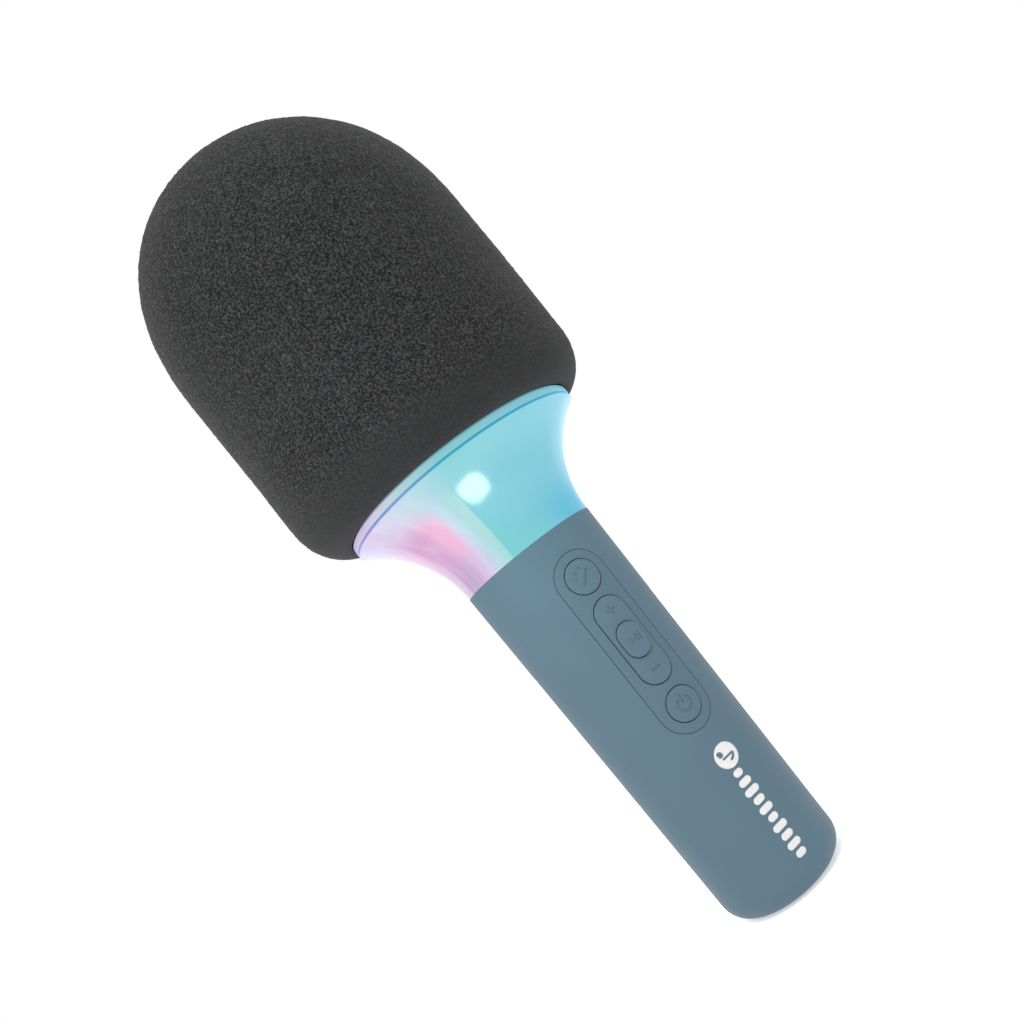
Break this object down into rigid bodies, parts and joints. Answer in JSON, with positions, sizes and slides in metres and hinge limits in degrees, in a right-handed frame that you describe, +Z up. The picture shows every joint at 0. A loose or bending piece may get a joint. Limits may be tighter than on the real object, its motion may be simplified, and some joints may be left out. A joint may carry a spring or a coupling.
{
  "type": "toy microphone",
  "caption": "Handheld toy karaoke microphone with a pull-off foam windscreen, a glowing flared collar and a tapered grip with press keys and a volume rocker.",
  "frame": {"origin": "centre of the grip's flat end, on which it stands", "axes": "+Z up the axis to the foam head, -Y is the side with the keys, +X is to the right of the keys seen from the front"},
  "size_m": [0.0904, 0.0904, 0.246],
  "materials": {
    "soft_grip": "matte",
    "soft_panel": "matte",
    "soft_keys": "matte",
    "foam": "matte",
    "light_diffuser": "gloss",
    "rim_plastic": "gloss",
    "white_plastic": "satin",
    "black_plastic": "satin",
    "board_laminate": "satin",
    "chip_epoxy": "satin",
    "module_shield": "satin",
    "capacitor_can": "satin",
    "screw_steel": "satin",
    "cell_wrap": "satin",
    "tab_nickel": "satin",
    "socket_steel": "satin",
    "led_resin": "gloss",
    "basket_plastic": "matte",
    "pressed_steel": "satin",
    "magnet_ferrite": "satin",
    "cone_paper": "matte",
    "surround_rubber": "matte",
    "boot_rubber": "matte",
    "capsule_metal": "satin",
    "lead_red": "satin",
    "lead_black": "satin",
    "lead_white": "satin"
  },
  "bodies": {
    "microphone": {"handle_shell": "soft_grip", "control_panel": "soft_panel", "volume_switch_plungers": "black_plastic", "tact_switches": "module_shield", "main_board": "board_laminate", "wireless_module": "module_shield", "audio_chips": "chip_epoxy", "capacitors": "capacitor_can", "board_screws": "screw_steel", "inner_chassis": "black_plastic", "battery_cell": "cell_wrap", "battery_tabs": "tab_nickel", "charge_board": "board_laminate", "usb_c_shell": "socket_steel", "usb_c_tongue": "black_plastic", "neck_sleeve": "white_plastic", "led_ring_board": "board_laminate", "rgb_leds": "led_resin", "collar_reflector": "white_plastic", "light_collar": "light_diffuser", "collar_rim_ring": "rim_plastic", "head_base": "black_plastic", "head_basket": "basket_plastic", "speaker_bracket": "black_plastic", "speaker_frame": "pressed_steel", "speaker_magnet": "magnet_ferrite", "speaker_cone": "cone_paper", "speaker_surround": "surround_rubber", "speaker_dust_cap": "cone_paper", "speaker_screws": "screw_steel", "capsule_bridge": "black_plastic", "capsule_boot": "boot_rubber", "mic_capsule": "capsule_metal", "speaker_leads": "lead_black", "mic_lead": "lead_white", "battery_leads": "lead_red", "charge_leads": "lead_red"},
    "foam_windscreen": {"foam_windscreen": "foam"},
    "effects_key": {"effects_button": "soft_keys", "effects_switch_plunger": "black_plastic"},
    "play_key": {"play_button": "soft_keys", "play_switch_plunger": "black_plastic"},
    "power_key": {"power_button": "soft_keys", "power_switch_plunger": "black_plastic"},
    "volume_key": {"volume_rocker": "soft_keys"}
  },
  "joints": [
    {"name": "effects_press", "type": "slide", "parent": "microphone", "child": "effects_key", "axis": [0, 1, 0], "range_m": [0, 0.00035], "stiffness_N_per_m": 1500},
    {"name": "play_press", "type": "slide", "parent": "microphone", "child": "play_key", "axis": [0, 1, 0], "range_m": [0, 0.00035], "stiffness_N_per_m": 1500},
    {"name": "power_press", "type": "slide", "parent": "microphone", "child": "power_key", "axis": [0, 1, 0], "range_m": [0, 0.00035], "stiffness_N_per_m": 1500},
    {"name": "volume_tilt", "type": "hinge", "parent": "microphone", "child": "volume_key", "pos_m": [0, -0.0149, 0.07905], "axis": [1, 0, 0], "range_deg": [-1.2, 1.2], "stiffness_Nm_per_rad": 0.5},
    {"name": "windscreen_pull", "type": "slide", "parent": "microphone", "child": "foam_windscreen", "axis": [0, 0, 1], "range_m": [0, 0.105]}
  ]
}
